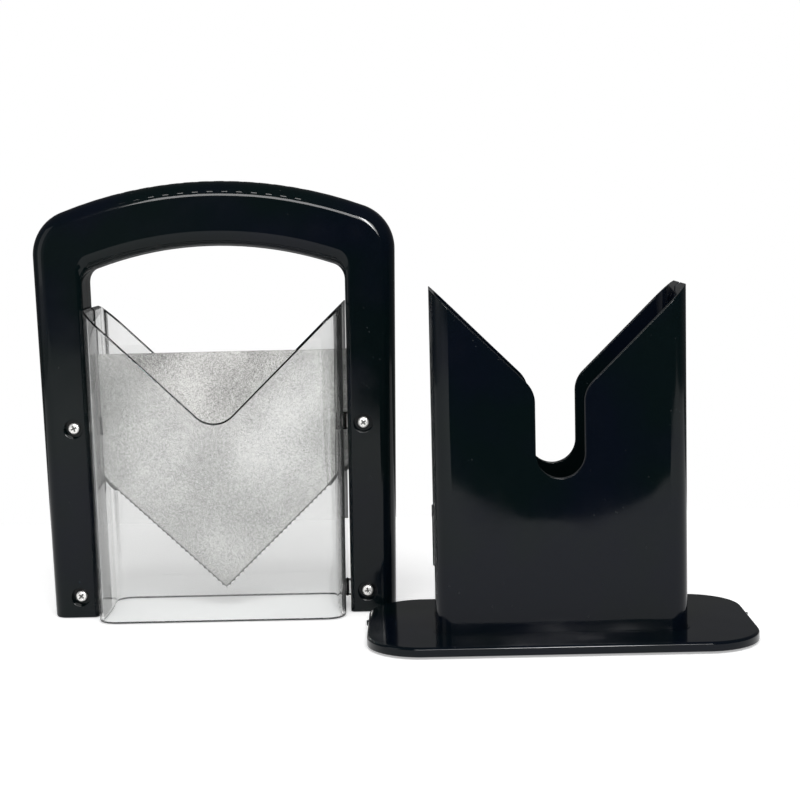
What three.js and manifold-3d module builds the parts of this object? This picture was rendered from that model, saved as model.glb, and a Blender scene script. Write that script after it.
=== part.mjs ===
// A bagel guillotine, standing as its two halves beside each other.
// Left: the arched handle, with the clear guard and the V-shaped blade screwed between its legs.
// Right: the base, whose tall slotted holder keeps a bagel on edge under the blade.
// The guard slides down over the holder, and the blade's ends run in the holder's side slots.
// Millimetres, x to the right, y away from the viewer, z up.

import * as THREE from 'three';
import { mergeVertices } from 'three/addons/utils/BufferGeometryUtils.js';
import Module from 'manifold-3d';

const wasm = await Module();
wasm.setup();

// General clearances
const fit = 0.3; // gap between pieces that touch or plug into each other
const slide = 1.3; // running gap between the guard and the holder, on each side
const overrun = 2; // how far a cut runs past the face that it opens

// Holder: the box that the bagel stands in
const holderWidth = 122.4;
const holderDepth = 54;
const holderTop = 172;
const holderWall = 2.5;
const holderCorner = 9; // radius of the upright corners, outside
const fingerSlotHalf = 12.5; // half the width of the U for the fingers
const fingerSlotFloor = 80.8;
const mouthKneeHeight = 123; // where the sloping mouth meets the U
const mouthKneeRadius = 14;
const bladeSlotWidth = 3.2;
const bladeSlotFloor = 66;
const padProud = 0.7; // guide pads under the blade slots
const padWidth = 20;
const padHeight = 27;
const padDrop = 3; // from the slot's end to the pad
const holderBossRadius = 5;
const holderBossHeight = 18;
const holderBossBite = 0.9; // how far a boss grows into the wall

// Cradle: the ribs that keep the bagel above the blade's lowest point
const cradleRoom = 2.6; // from the cradle's ends to the holder's bosses
const cradleRib = 2.4;
const cradleFloor = 2.6;
const cradleSlit = 6; // clear width for the blade between the inner ribs
const cradleRibs = 3; // on each side of the slit
const cradleDip = 35; // height of the ribs in the middle
const cradleRadius = 60;
const cradleEndWeb = 26;

// Base plate
const plateMarginX = 4.6; // from the foot of a leg, when closed, to the plate's end
const plateMarginY = 20.2; // from the guard, when closed, to the plate's front and back
const plateTop = 5.5;
const plateLift = 0.9; // how far the feet hold the rim off the table
const plateCorner = 28;
const plateEdge = 1.4;
const plateSkin = 2.6;
const plateSkirt = 2.4;
const plateRib = 1.6;
const plateRibDrop = 1.9; // depth of the stiffening ribs below the skin
const longRibShare = 0.62; // of the half depth inside the skirt
const crossRibShares = [-0.82, -0.42, 0, 0.42, 0.82]; // of the half width inside the skirt
const plateBoreTop = 3.4; // where the heads of the holder's screws bear
const seatDepth = 1; // groove that takes the foot of the holder
const nubRadius = 1.6; // small moulding nubs on the plate's ends
const nubProud = 1;
const nubSetback = 10; // from the middle of the end towards the back
const nubHeight = 2.4;
const footRadius = 6;
const footEdge = 0.5;
const footInsetX = 20;
const footInsetY = 17;
const footRingWall = 1.5;

// Guard: the clear sleeve
const guardWall = 2;
const guardCorner = 10;
const guardTop = 163;
const guardNotchApex = 98.5; // where the two sloping edges would meet
const guardNotchRadius = 13;
const earThickness = 2.4;
const earHeight = 9;
const earReach = 4; // ear past the middle of its screw

// Blade
const bladeThickness = 1;
const bladeTop = 138;
const bladeHold = 4.3; // blade past the middle of its screws
const bladeTabRise = 0.6; // the blade's ends start this far below the holder's slots
const bladeEdgeRoom = 1.7; // from the ends of the serrated V to the holder's end walls
const bladeTip = 10.8;
const toothCount = 24; // on each side of the tip
const toothDepth = 0.8;
const bladeCorner = 3;

// Handle frame
const frameDepth = 27;
const frameTop = 227;
const archRadius = 222;
const archBand = 33.5; // from the top of the arch to the grip's underside
const legWidth = 22.7; // at the foot
const legLean = 3.7; // how much further out the leg's outer side stands at the shoulder
const legGapLean = 2.7; // the same for its inner side
const shoulderDrop = 32; // from the top of the arch to the end of the straight leg
const shoulderCorner = 24;
const legClearance = 3.2; // from the guard to the foot of the leg, on each side
const holeCorner = 8.5; // where the leg's inner side meets the grip
const frameEdge = 8; // rounding of the outer edges
const gripRound = 8.4; // rounding under the grip
const legRound = 2.6; // rounding of the legs' inner edges
const gripKnee = 14; // corner where one rounding runs into the other, on each face
const footRound = 2.5; // outer corner of each foot
const shellWall = 2.4;
const grooveWidth = 2.4; // grip grooves across the top of the arch
const grooveDepth = 0.4;
const groovePitch = 7.8;
const grooveCount = 13;
const grooveStop = 0.7; // smooth strip left before each face
const pegRadius = 1.8;
const pegReach = 4;
const pegWall = 1.8;
const pegSpread = 62;

// Screws
const legScrewInset = 8; // from the leg's inner face
const legScrewRise = 34.8; // upper screws, above the lower side of the blade's ends
const legScrewLower = 10.9;
const headRadius = 2.9;
const headHeight = 1.9;
const headEdge = 0.7;
const shankRadius = 1.5;
const legShank = 18;
const plateShank = 13;
const recessWidth = 0.9;
const recessReach = 1.7;
const recessDepth = 1.1;
const boreRadius = 4.6; // counterbore round each leg screw
const boreDepth = 3.6;
const bossRadius = 6;
const pinRadius = 3.6; // rear bosses that the leg screws bite into

// How the two halves stand
const standLapX = 17.1; // how far the base stands in front of the handle's right shoulder
const standLapY = 3; // how little the plate's straight front lies clear of the legs' front

// Fineness of the facets
const archSteps = 8; // from a shoulder to the crown
const edgeSteps = 3;
const flareSteps = 5;
const cornerSteps = 6;
const roundSteps = 16;
const tiny = 1e-4; // points closer than this are one

// Worked-out sizes
const archCentre = frameTop - archRadius;
const gripRadius = archRadius - archBand;
const faceY = frameDepth / 2;
const guardWidth = holderWidth + 2 * (slide + guardWall);
const guardDepth = holderDepth + 2 * (slide + guardWall);
const legGapHalf = guardWidth / 2 + legClearance;
const footHalf = legGapHalf + legWidth;
const shoulderHalf = footHalf + legLean;
const shoulderHeight = frameTop - shoulderDrop;
const bladeTabBottom = bladeSlotFloor - bladeTabRise;
const bladeEdgeHalf = holderWidth / 2 - holderWall - bladeEdgeRoom;
const legScrewX = legGapHalf + legScrewInset;
const legScrewUpper = bladeTabBottom + legScrewRise;
const bladeHalf = legScrewX + bladeHold;
const plateWidth = 2 * (footHalf + plateMarginX);
const plateDepth = guardDepth + 2 * plateMarginY;
const apartX = shoulderHalf + plateWidth / 2 - standLapX;
const apartY = plateDepth / 2 + faceY - standLapY;
const holderFoot = plateTop - seatDepth + fit;
const boreHole = shankRadius + fit;
const earBack = -bladeThickness / 2 - fit;
const earFront = earBack - earThickness;
const legScrews = [
  ['upper_left', -legScrewX, legScrewUpper],
  ['upper_right', legScrewX, legScrewUpper],
  ['lower_left', -legScrewX, legScrewLower],
  ['lower_right', legScrewX, legScrewLower],
];
const holderBossX = holderWidth / 2 - holderWall - holderBossRadius + holderBossBite;
const holderBossY = holderDepth / 2 - holderWall - holderBossRadius + holderBossBite;
const cradleLength = 2 * (holderBossX - holderBossRadius - cradleRoom);
const corners = [
  ['front_left', -1, -1],
  ['front_right', 1, -1],
  ['rear_left', -1, 1],
  ['rear_right', 1, 1],
];

// Closed solid from a three.js geometry, faces outward whichever way its profile ran
function solid(geometry) {
  const bare = geometry.clone();
  bare.deleteAttribute('normal');
  bare.deleteAttribute('uv');
  const merged = mergeVertices(bare);
  const spots = merged.attributes.position.array;
  const index = Uint32Array.from(merged.index.array);
  const corner = [0, 1, 2].map(() => new THREE.Vector3());
  const kept = [];
  let volume = 0;
  for (let i = 0; i < index.length; i += 3) {
    const [a, b, c] = [index[i], index[i + 1], index[i + 2]];
    if (a === b || b === c || c === a) continue;
    corner.forEach((v, k) => v.fromArray(spots, 3 * index[i + k]));
    volume += corner[0].dot(corner[1].clone().cross(corner[2]));
    kept.push(a, b, c);
  }
  if (volume < 0) {
    for (let i = 0; i < kept.length; i += 3) [kept[i], kept[i + 1]] = [kept[i + 1], kept[i]];
  }
  const mesh = new wasm.Mesh({
    numProp: 3,
    vertProperties: Float32Array.from(spots),
    triVerts: Uint32Array.from(kept),
  });
  return new wasm.Manifold(mesh);
}

function piece(name, body, material) {
  const mesh = body.getMesh();
  const geometry = new THREE.BufferGeometry();
  geometry.setAttribute('position', new THREE.BufferAttribute(mesh.vertProperties, 3));
  geometry.setIndex(new THREE.BufferAttribute(mesh.triVerts, 1));
  geometry.computeVertexNormals();
  const part = new THREE.Mesh(geometry, material);
  part.name = name;
  return part;
}

const joined = (bodies) => bodies.reduce((sum, body) => sum.add(body));

function box(x0, x1, y0, y1, z0, z1) {
  const block = new THREE.BoxGeometry(x1 - x0, y1 - y0, z1 - z0);
  block.translate((x0 + x1) / 2, (y0 + y1) / 2, (z0 + z1) / 2);
  return solid(block);
}

// Outline in x and z, pushed from y0 to y1
function prism(shape, y0, y1) {
  const body = new THREE.ExtrudeGeometry(shape, { depth: y1 - y0, bevelEnabled: false });
  body.rotateX(Math.PI / 2);
  body.translate(0, y1, 0);
  return solid(body);
}

// Outline in x and y, pushed up from z0 to z1
function column(shape, z0, z1) {
  const body = new THREE.ExtrudeGeometry(shape, { depth: z1 - z0, bevelEnabled: false });
  body.translate(0, 0, z0);
  return solid(body);
}

function rod(x, z, radius, y0, y1) {
  const body = new THREE.CylinderGeometry(radius, radius, y1 - y0, roundSteps);
  body.translate(x, (y0 + y1) / 2, z);
  return solid(body);
}

function post(x, y, radius, z0, z1) {
  const body = new THREE.CylinderGeometry(radius, radius, z1 - z0, roundSteps);
  body.rotateX(Math.PI / 2);
  body.translate(x, y, (z0 + z1) / 2);
  return solid(body);
}

const arcPoint = (x, y, radius, angle) =>
  new THREE.Vector2(x + radius * Math.cos(angle), y + radius * Math.sin(angle));

// Shape through [x, y, radius] corners, each corner rounded by its radius
function rounded(list) {
  const points = list.flatMap(([x, y, radius = 0], i) => {
    const here = new THREE.Vector2(x, y);
    if (!radius) return [here];
    const [bx, by] = list[(i + list.length - 1) % list.length];
    const [ax, ay] = list[(i + 1) % list.length];
    const back = new THREE.Vector2(bx, by).sub(here).normalize();
    const ahead = new THREE.Vector2(ax, ay).sub(here).normalize();
    const half = Math.acos(back.dot(ahead)) / 2;
    const middle = back.clone().add(ahead).normalize();
    const centre = here.clone().addScaledVector(middle, radius / Math.sin(half));
    const start = back.multiplyScalar(radius / Math.tan(half)).add(here).sub(centre).angle();
    const end = ahead.multiplyScalar(radius / Math.tan(half)).add(here).sub(centre).angle();
    const turn = ((end - start + 3 * Math.PI) % (2 * Math.PI)) - Math.PI;
    return Array.from({ length: cornerSteps + 1 }, (_, k) =>
      arcPoint(centre.x, centre.y, radius, start + (turn * k) / cornerSteps));
  });
  const apart = points.filter((p, i) => p.distanceTo(points[(i + 1) % points.length]) > tiny);
  return new THREE.Shape(apart);
}

function roundedBox(width, depth, corner, grow = 0) {
  const [w, d, r] = [width / 2 + grow, depth / 2 + grow, corner + grow];
  return rounded([[w, -d, r], [w, d, r], [-w, d, r], [-w, -d, r]]);
}

// Arch-topped outline: leaning sides, rounded shoulders and an arc about the arch's centre.
// grow moves the whole outline outwards; the sides run on below the feet, to be cut level.
function archPoints(foot, shoulder, radius, corner, grow = 0) {
  const upward = new THREE.Vector2(shoulder - foot, shoulderHeight).normalize();
  const outward = new THREE.Vector2(upward.y, -upward.x);
  const centre = new THREE.Vector2(0, archCentre);
  // The middle of the shoulder's arc lies as far inside the side as inside the arch
  const turn = new THREE.Vector2(foot, 0).addScaledVector(outward, -corner).sub(centre);
  const along = turn.dot(upward);
  const rise = Math.sqrt(along ** 2 - turn.lengthSq() + (radius - corner) ** 2) - along;
  turn.addScaledVector(upward, rise);
  const first = Math.atan2(outward.y, outward.x);
  const last = turn.angle();
  const right = [new THREE.Vector2(foot, 0)
    .addScaledVector(outward, grow).addScaledVector(upward, -frameDepth)];
  for (let k = 0; k <= cornerSteps; k += 1) {
    const angle = first + ((last - first) * k) / cornerSteps;
    right.push(arcPoint(turn.x, turn.y + archCentre, corner + grow, angle));
  }
  for (let k = 1; k < archSteps; k += 1) {
    const angle = last + ((Math.PI / 2 - last) * k) / archSteps;
    right.push(arcPoint(0, archCentre, radius + grow, angle));
  }
  const left = right.map((p) => new THREE.Vector2(-p.x, p.y)).reverse();
  const crown = arcPoint(0, archCentre, radius + grow, Math.PI / 2);
  return [...right, crown, ...left];
}

// Skin drawn over [y, outline] rings in turn, all with as many points, and closed at both ends
function loft(rings) {
  const count = rings[0][1].length;
  const last = (rings.length - 1) * count;
  const index = [];
  for (let i = 0; i < last; i += 1) {
    const next = (i + 1) % count === 0 ? i + 1 - count : i + 1;
    index.push(next, i, i + count, next, i + count, next + count);
  }
  THREE.ShapeUtils.triangulateShape(rings[0][1], []).forEach(([a, b, c]) => {
    index.push(a, b, c, last + c, last + b, last + a);
  });
  const spots = rings.flatMap(([y, outline]) => outline.flatMap((p) => [p.x, y, p.y]));
  const body = new THREE.BufferGeometry();
  body.setAttribute('position', new THREE.Float32BufferAttribute(spots, 3));
  body.setIndex(index);
  return solid(body);
}

// Handle frame: a bar with rounded edges, less the opening between its legs.
// skin is how far inside the outer surface the form lies, so the same form makes the hollow.
function bar(skin) {
  const round = frameEdge - skin;
  const core = archPoints(footHalf, shoulderHalf, archRadius, shoulderCorner, -frameEdge);
  const flat = frameDepth - 2 * frameEdge;
  const body = new THREE.ExtrudeGeometry(new THREE.Shape(core), {
    depth: flat, bevelThickness: round, bevelSize: round, bevelSegments: edgeSteps,
  });
  body.rotateX(Math.PI / 2);
  body.translate(0, flat / 2, 0);
  return solid(body);
}

// Opening between the legs. It flares towards both faces, which rounds its edges there:
// much under the grip, and little along the legs.
function opening(skin) {
  const [grip, leg] = [gripRound - skin, legRound - skin];
  const flare = [];
  for (let k = 0; k <= flareSteps; k += 1) {
    const angle = (Math.PI / 2) * (k / flareSteps);
    const [inward, up] = [grip * (1 - Math.cos(angle)), grip * (1 - Math.sin(angle))];
    const out = leg - Math.sqrt(leg ** 2 - Math.max(leg - inward, 0) ** 2);
    const corner = holeCorner + (gripKnee - holeCorner) * (up / grip);
    const [foot, shoulder] = [legGapHalf + out, legGapHalf + legGapLean + out];
    flare.push([faceY - skin - inward, archPoints(foot, shoulder, gripRadius + up, corner, skin)]);
  }
  const rear = [[frameDepth, flare[0][1]], ...flare];
  const front = rear.map(([y, outline]) => [-y, outline]);
  return loft([...front, ...rear.reverse()]);
}

function frame(skin) {
  const wide = shoulderHalf + overrun;
  const floor = box(-wide, wide, -frameDepth, frameDepth, -2 * frameDepth, skin);
  return bar(skin).subtract(opening(skin)).subtract(floor);
}

// What rounds the outer corners of the feet
function footCutters() {
  const [middle, wide] = [footHalf - footRound, shoulderHalf + overrun];
  return joined([-1, 1].map((side) => {
    const [x0, x1] = side < 0 ? [-wide, -middle] : [middle, wide];
    return box(x0, x1, -frameDepth, frameDepth, -overrun, footRound)
      .subtract(rod(side * middle, footRound, footRound, -frameDepth, frameDepth));
  }));
}

// Grooves across the top of the arch, as deep as the bar's form set in by grooveDepth
function gripGrooves() {
  const reach = faceY - grooveStop;
  const slabs = Array.from({ length: grooveCount }, (_, k) => {
    const slab = new THREE.BoxGeometry(grooveWidth, 2 * reach, 2 * frameEdge);
    slab.translate(0, 0, archRadius);
    slab.rotateY(((k - (grooveCount - 1) / 2) * groovePitch) / archRadius);
    slab.translate(0, 0, archCentre);
    return solid(slab);
  });
  return joined(slabs).subtract(bar(grooveDepth));
}

const pegPlaces = [-1, 1].map((side) => {
  const middle = archRadius - archBand / 2;
  return [side * pegSpread, archCentre + Math.sqrt(middle ** 2 - pegSpread ** 2)];
});
const legFace = -faceY + boreDepth; // where the heads of the leg screws bear
const shankEnd = legFace - fit + legShank;

// Room for the blade's ends and for the guard's ears where they enter the legs
function legSlots() {
  const [near, far] = [legGapHalf - overrun, legGapHalf + legGapLean + shellWall + overrun];
  const thick = bladeThickness / 2 + fit;
  const cuts = [-1, 1].map((side) => {
    const [x0, x1] = side < 0 ? [-far, -near] : [near, far];
    return box(x0, x1, -thick, thick, bladeTabBottom - fit, bladeTop + fit);
  });
  legScrews.forEach(([, x, z]) => {
    const [x0, x1] = x < 0 ? [-far, -near] : [near, far];
    const tall = earHeight / 2 + fit;
    cuts.push(box(x0, x1, earFront - fit, fit / 2, z - tall, z + tall));
  });
  return joined(cuts);
}

function shells() {
  const outer = frame(0).subtract(footCutters());
  const hollow = frame(shellWall);
  const skin = outer.subtract(gripGrooves()).subtract(hollow).subtract(legSlots());
  const wide = shoulderHalf + overrun;
  const half = (y0, y1) => box(-wide, wide, y0, y1, -overrun, frameTop + overrun);

  let front = skin.intersect(half(-faceY - overrun, -fit / 2));
  const bosses = legScrews.map(([, x, z]) => rod(x, z, bossRadius, -faceY, earFront - fit));
  const sockets = pegPlaces.map(([x, z]) =>
    rod(x, z, pegRadius + fit + pegWall, -faceY + shellWall / 2, -fit / 2));
  front = front.add(joined([...bosses, ...sockets]).intersect(outer));
  legScrews.forEach(([, x, z]) => {
    front = front.subtract(rod(x, z, boreRadius, -faceY - overrun, legFace));
    front = front.subtract(rod(x, z, boreHole, -faceY, 0));
  });
  pegPlaces.forEach(([x, z]) => {
    front = front.subtract(rod(x, z, pegRadius + fit, -pegReach - fit, overrun));
  });

  let rear = skin.intersect(half(fit / 2, faceY + overrun));
  const pins = legScrews.map(([, x, z]) => {
    const start = z > bladeTabBottom ? bladeThickness / 2 + fit : earBack + fit;
    return rod(x, z, pinRadius, start, faceY - shellWall / 2);
  });
  const pegs = pegPlaces.map(([x, z]) => rod(x, z, pegRadius, -pegReach, faceY - shellWall / 2));
  rear = rear.add(joined([...pins, ...pegs]));
  legScrews.forEach(([, x, z]) => {
    rear = rear.subtract(rod(x, z, boreHole, -frameDepth, shankEnd + fit));
  });
  return [front, rear];
}

// Pan-head screw along y: the head's top at zero, the shank behind it
function screwBody(shank) {
  const profile = [
    [0, 0], [headRadius - headEdge, 0], [headRadius, headEdge], [headRadius, headHeight],
    [shankRadius, headHeight], [shankRadius, headHeight + shank - shankRadius],
    [0, headHeight + shank],
  ].map(([r, y]) => new THREE.Vector2(r, y));
  const turned = solid(new THREE.LatheGeometry(profile, roundSteps));
  const [reach, half] = [recessReach, recessWidth / 2];
  const cross = box(-reach, reach, -overrun, recessDepth, -half, half)
    .add(box(-half, half, -overrun, recessDepth, -reach, reach));
  return turned.subtract(cross);
}

// Guard: a clear sleeve with a V in its two broad faces and four ears for the leg screws
function guardBody() {
  const [half, tall] = [guardWidth / 2, guardTop - guardNotchApex];
  let sleeve = column(roundedBox(guardWidth, guardDepth, guardCorner), 0, guardTop)
    .subtract(column(roundedBox(guardWidth, guardDepth, guardCorner, -guardWall),
      -overrun, guardTop + overrun));
  const far = half + overrun;
  const lip = guardNotchApex + (tall * far) / half;
  const notch = rounded([[0, guardNotchApex, guardNotchRadius], [far, lip], [-far, lip]]);
  sleeve = sleeve.subtract(prism(notch, -guardDepth, guardDepth));
  const thick = bladeThickness / 2 + fit;
  sleeve = sleeve.subtract(box(-far, far, -thick, thick, bladeTabBottom - fit, guardTop));
  const ears = legScrews.map(([, x, z]) => {
    const [root, tip] = [half - guardWall / 2, legScrewX + earReach];
    const [x0, x1] = x < 0 ? [-tip, -root] : [root, tip];
    return box(x0, x1, earFront, earBack, z - earHeight / 2, z + earHeight / 2)
      .subtract(rod(x, z, boreHole, -faceY, faceY));
  });
  return joined([sleeve, ...ears]);
}

// Blade: straight back, square ends and two serrated edges that meet in a point
function bladeBody() {
  const tip = new THREE.Vector2(0, bladeTip);
  const heel = new THREE.Vector2(bladeEdgeHalf, bladeTabBottom);
  const edge = heel.clone().sub(tip);
  const inward = new THREE.Vector2(-edge.y, edge.x).normalize();
  const scallopShares = [0, 0.6, 1, 0.6];
  const teeth = [];
  for (let k = 0; k < toothCount; k += 1) {
    scallopShares.forEach((share, j) => {
      const along = (k + j / scallopShares.length) / toothCount;
      teeth.push(tip.clone().addScaledVector(edge, along)
        .addScaledVector(inward, share * toothDepth));
    });
  }
  const right = [...teeth, heel, new THREE.Vector2(bladeHalf, bladeTabBottom),
    new THREE.Vector2(bladeHalf, bladeTop - bladeCorner),
    new THREE.Vector2(bladeHalf - bladeCorner, bladeTop)];
  const left = right.slice(1).map((p) => new THREE.Vector2(-p.x, p.y)).reverse();
  let blade = prism(new THREE.Shape([...right, ...left]),
    -bladeThickness / 2, bladeThickness / 2);
  legScrews.filter(([, , z]) => z > bladeTabBottom).forEach(([, x, z]) => {
    blade = blade.subtract(rod(x, z, boreHole, -faceY, faceY));
  });
  return blade;
}

// Holder: a four-walled box, open at both ends, with the mouth cut through front and back
function holderBody() {
  const half = holderWidth / 2;
  const outline = (grow) => roundedBox(holderWidth, holderDepth, holderCorner, grow);
  const far = half + overrun;
  const lip = mouthKneeHeight
    + ((holderTop - mouthKneeHeight) * (far - fingerSlotHalf)) / (half - fingerSlotHalf);
  const mouth = rounded([
    [-far, lip], [-fingerSlotHalf, mouthKneeHeight, mouthKneeRadius],
    [-fingerSlotHalf, fingerSlotFloor, fingerSlotHalf],
    [fingerSlotHalf, fingerSlotFloor, fingerSlotHalf],
    [fingerSlotHalf, mouthKneeHeight, mouthKneeRadius], [far, lip],
  ]);
  let holder = column(outline(0), holderFoot, holderTop)
    .subtract(column(outline(-holderWall), 0, holderTop + overrun))
    .subtract(prism(mouth, -holderDepth, holderDepth))
    .subtract(box(-far, far, -bladeSlotWidth / 2, bladeSlotWidth / 2,
      bladeSlotFloor, holderTop + overrun));
  const padTop = bladeSlotFloor - padDrop;
  [-1, 1].forEach((side) => {
    const [root, face] = [half - holderWall / 2, half + padProud];
    const [x0, x1] = side < 0 ? [-face, -root] : [root, face];
    holder = holder.add(box(x0, x1, -padWidth / 2, padWidth / 2, padTop - padHeight, padTop));
  });
  corners.forEach(([, sx, sy]) => {
    const [x, y] = [sx * holderBossX, sy * holderBossY];
    const top = plateTop + holderBossHeight;
    holder = holder.add(post(x, y, holderBossRadius, plateTop + fit, top))
      .subtract(post(x, y, boreHole, 0, plateBoreTop - fit + plateShank + fit));
  });
  return holder;
}

// Cradle: a floor with dished ribs on both sides of the blade's slit
function cradleBody() {
  const foot = plateTop + fit;
  const [half, deep] = [cradleLength / 2, holderDepth / 2 - holderWall - fit];
  const dish = [[-half, foot], [half, foot]];
  const dishSteps = roundSteps / 2;
  for (let k = 0; k <= dishSteps; k += 1) {
    const x = half - (cradleLength * k) / dishSteps;
    dish.push([x, cradleDip + cradleRadius - Math.sqrt(cradleRadius ** 2 - x ** 2)]);
  }
  const saddle = rounded(dish);
  const bodies = [box(-half, half, -deep, deep, foot, foot + cradleFloor)];
  const pitch = (deep - cradleRib - cradleSlit / 2) / (cradleRibs - 1);
  [-1, 1].forEach((side) => {
    for (let k = 0; k < cradleRibs; k += 1) {
      const near = cradleSlit / 2 + k * pitch;
      const [y0, y1] = side < 0 ? [-near - cradleRib, -near] : [near, near + cradleRib];
      bodies.push(prism(saddle, y0, y1));
    }
    const [x0, x1] = side < 0 ? [-half, -half + cradleRib] : [half - cradleRib, half];
    bodies.push(box(x0, x1, -deep, deep, foot, foot + cradleEndWeb));
  });
  return joined(bodies);
}

// Base plate: a thin tray turned upside down, ribbed and bossed beneath
function plateBody() {
  const edge = plateEdge;
  const slab = new THREE.ExtrudeGeometry(
    roundedBox(plateWidth, plateDepth, plateCorner, -edge),
    {
      depth: plateTop - plateLift - 2 * edge,
      bevelThickness: edge, bevelSize: edge, bevelSegments: edgeSteps,
    },
  );
  slab.translate(0, 0, plateLift + edge);
  const ceiling = plateTop - plateSkin;
  let plate = solid(slab).subtract(column(
    roundedBox(plateWidth, plateDepth, plateCorner, -plateSkirt), 0, ceiling));
  const [longHalf, deepHalf] = [plateWidth / 2 - plateSkirt, plateDepth / 2 - plateSkirt];
  const [low, root] = [ceiling - plateRibDrop, ceiling + plateSkin / 2];
  const rib = plateRib / 2;
  const ribs = [];
  [-1, 1].forEach((side) => {
    const y = side * deepHalf * longRibShare;
    ribs.push(box(-longHalf, longHalf, y - rib, y + rib, low, root));
  });
  crossRibShares.forEach((share) => {
    const x = share * longHalf;
    ribs.push(box(x - rib, x + rib, -deepHalf, deepHalf, low, root));
  });
  corners.forEach(([, sx, sy]) => {
    const [fx, fy] = [sx * (plateWidth / 2 - footInsetX), sy * (plateDepth / 2 - footInsetY)];
    ribs.push(post(fx, fy, footRadius + fit + footRingWall, low, root));
    ribs.push(post(sx * holderBossX, sy * holderBossY, headRadius + fit + footRingWall, low, root));
  });
  plate = plate.add(joined(ribs));
  corners.forEach(([, sx, sy]) => {
    const [fx, fy] = [sx * (plateWidth / 2 - footInsetX), sy * (plateDepth / 2 - footInsetY)];
    const [bx, by] = [sx * holderBossX, sy * holderBossY];
    plate = plate.subtract(post(fx, fy, footRadius + fit, 0, ceiling))
      .subtract(post(bx, by, headRadius + fit, 0, plateBoreTop))
      .subtract(post(bx, by, boreHole, 0, plateTop + overrun));
  });
  const seat = (grow) => column(
    roundedBox(holderWidth, holderDepth, holderCorner, grow), plateTop - seatDepth, plateTop + overrun);
  plate = plate.subtract(seat(fit).subtract(seat(-holderWall - fit)));
  const middle = (plateLift + plateTop) / 2;
  const nubs = [-1, 1].map((side) => post(side * (plateWidth / 2 + nubProud - nubRadius),
    nubSetback, nubRadius, middle - nubHeight / 2, middle + nubHeight / 2));
  return plate.add(joined(nubs));
}

function footBody() {
  const top = plateTop - plateSkin - fit;
  const profile = [[0, 0], [footRadius - footEdge, 0], [footRadius, footEdge], [footRadius, top],
    [0, top]].map(([r, y]) => new THREE.Vector2(r, y));
  const turned = new THREE.LatheGeometry(profile, roundSteps);
  turned.rotateX(Math.PI / 2);
  return solid(turned);
}

// Materials
const paint = (color, roughness, metalness, extra = {}) =>
  new THREE.MeshStandardMaterial({ color, roughness, metalness, ...extra });
const glossBlack = paint(0x14191c, 0.15, 0);
const innerBlack = paint(0x1b1f21, 0.4, 0);
const clearPlastic = paint(0xe6ecee, 0.05, 0, { transparent: true, opacity: 0.3 });
const blastedSteel = paint(0xb9bab8, 0.45, 0.9);
const nickel = paint(0xd2d2cf, 0.25, 1);
const rubber = paint(0x222323, 0.9, 0);

// Handle half: frame shells, guard, blade and screws
const handle = new THREE.Group();
const [frontShell, rearShell] = shells();
handle.add(
  piece('handle_front_shell', frontShell, glossBlack),
  piece('handle_rear_shell', rearShell, glossBlack),
  piece('guard', guardBody(), clearPlastic),
  piece('blade', bladeBody(), blastedSteel),
);
const legScrewBody = screwBody(legShank);
legScrews.forEach(([place, x, z]) => {
  const screw = piece(`leg_screw_${place}`, legScrewBody, nickel);
  screw.position.set(x, legFace - fit - headHeight, z);
  handle.add(screw);
});

// Base half: plate, holder, cradle, screws and feet
const base = new THREE.Group();
base.add(
  piece('base_plate', plateBody(), glossBlack),
  piece('holder', holderBody(), glossBlack),
  piece('bagel_cradle', cradleBody(), innerBlack),
);
const plateScrewBody = screwBody(plateShank);
const foot = footBody();
corners.forEach(([place, sx, sy]) => {
  const screw = piece(`holder_screw_${place}`, plateScrewBody, nickel);
  screw.rotation.x = Math.PI / 2;
  screw.position.set(sx * holderBossX, sy * holderBossY, plateBoreTop - fit - headHeight);
  const pad = piece(`foot_${place}`, foot, rubber);
  pad.position.set(
    sx * (plateWidth / 2 - footInsetX), sy * (plateDepth / 2 - footInsetY), 0);
  base.add(screw, pad);
});

// The two halves side by side, about the middle of the table space that they take
const guillotine = new THREE.Group();
base.position.set(apartX, -apartY, 0);
guillotine.add(handle, base);
const space = new THREE.Box3().setFromObject(guillotine).getCenter(new THREE.Vector3());
[handle, base].forEach((half) => half.position.sub(space.setZ(0)));

export default guillotine;
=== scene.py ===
import math

import bmesh
import bpy
from mathutils import Matrix, Vector


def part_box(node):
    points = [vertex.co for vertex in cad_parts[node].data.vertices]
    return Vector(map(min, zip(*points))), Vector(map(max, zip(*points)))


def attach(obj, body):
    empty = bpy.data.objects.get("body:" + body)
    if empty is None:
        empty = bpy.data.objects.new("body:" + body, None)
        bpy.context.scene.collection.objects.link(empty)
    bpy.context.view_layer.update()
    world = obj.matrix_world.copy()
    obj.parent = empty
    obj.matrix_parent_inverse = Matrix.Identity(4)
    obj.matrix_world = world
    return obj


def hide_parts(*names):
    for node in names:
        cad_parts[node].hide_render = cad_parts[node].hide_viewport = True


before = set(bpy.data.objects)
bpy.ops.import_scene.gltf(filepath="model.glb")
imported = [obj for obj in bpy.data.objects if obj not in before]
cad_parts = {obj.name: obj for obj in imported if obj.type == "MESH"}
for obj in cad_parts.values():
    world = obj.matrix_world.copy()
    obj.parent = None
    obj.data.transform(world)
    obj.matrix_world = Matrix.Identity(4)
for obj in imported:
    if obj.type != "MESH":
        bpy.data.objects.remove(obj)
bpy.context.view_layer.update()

# Lengths in the dictionaries of the pieces are millimetres. They are measured from the middle of the half
# that a piece belongs to: the handle with its blade and guard, or the base with its holder.
mm = 0.001


def middleOf(node):
    low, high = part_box(node)
    return Vector(((low.x + high.x) / 2, (low.y + high.y) / 2, 0))


handleMiddle = middleOf("blade")
baseMiddle = middleOf("holder")

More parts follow.
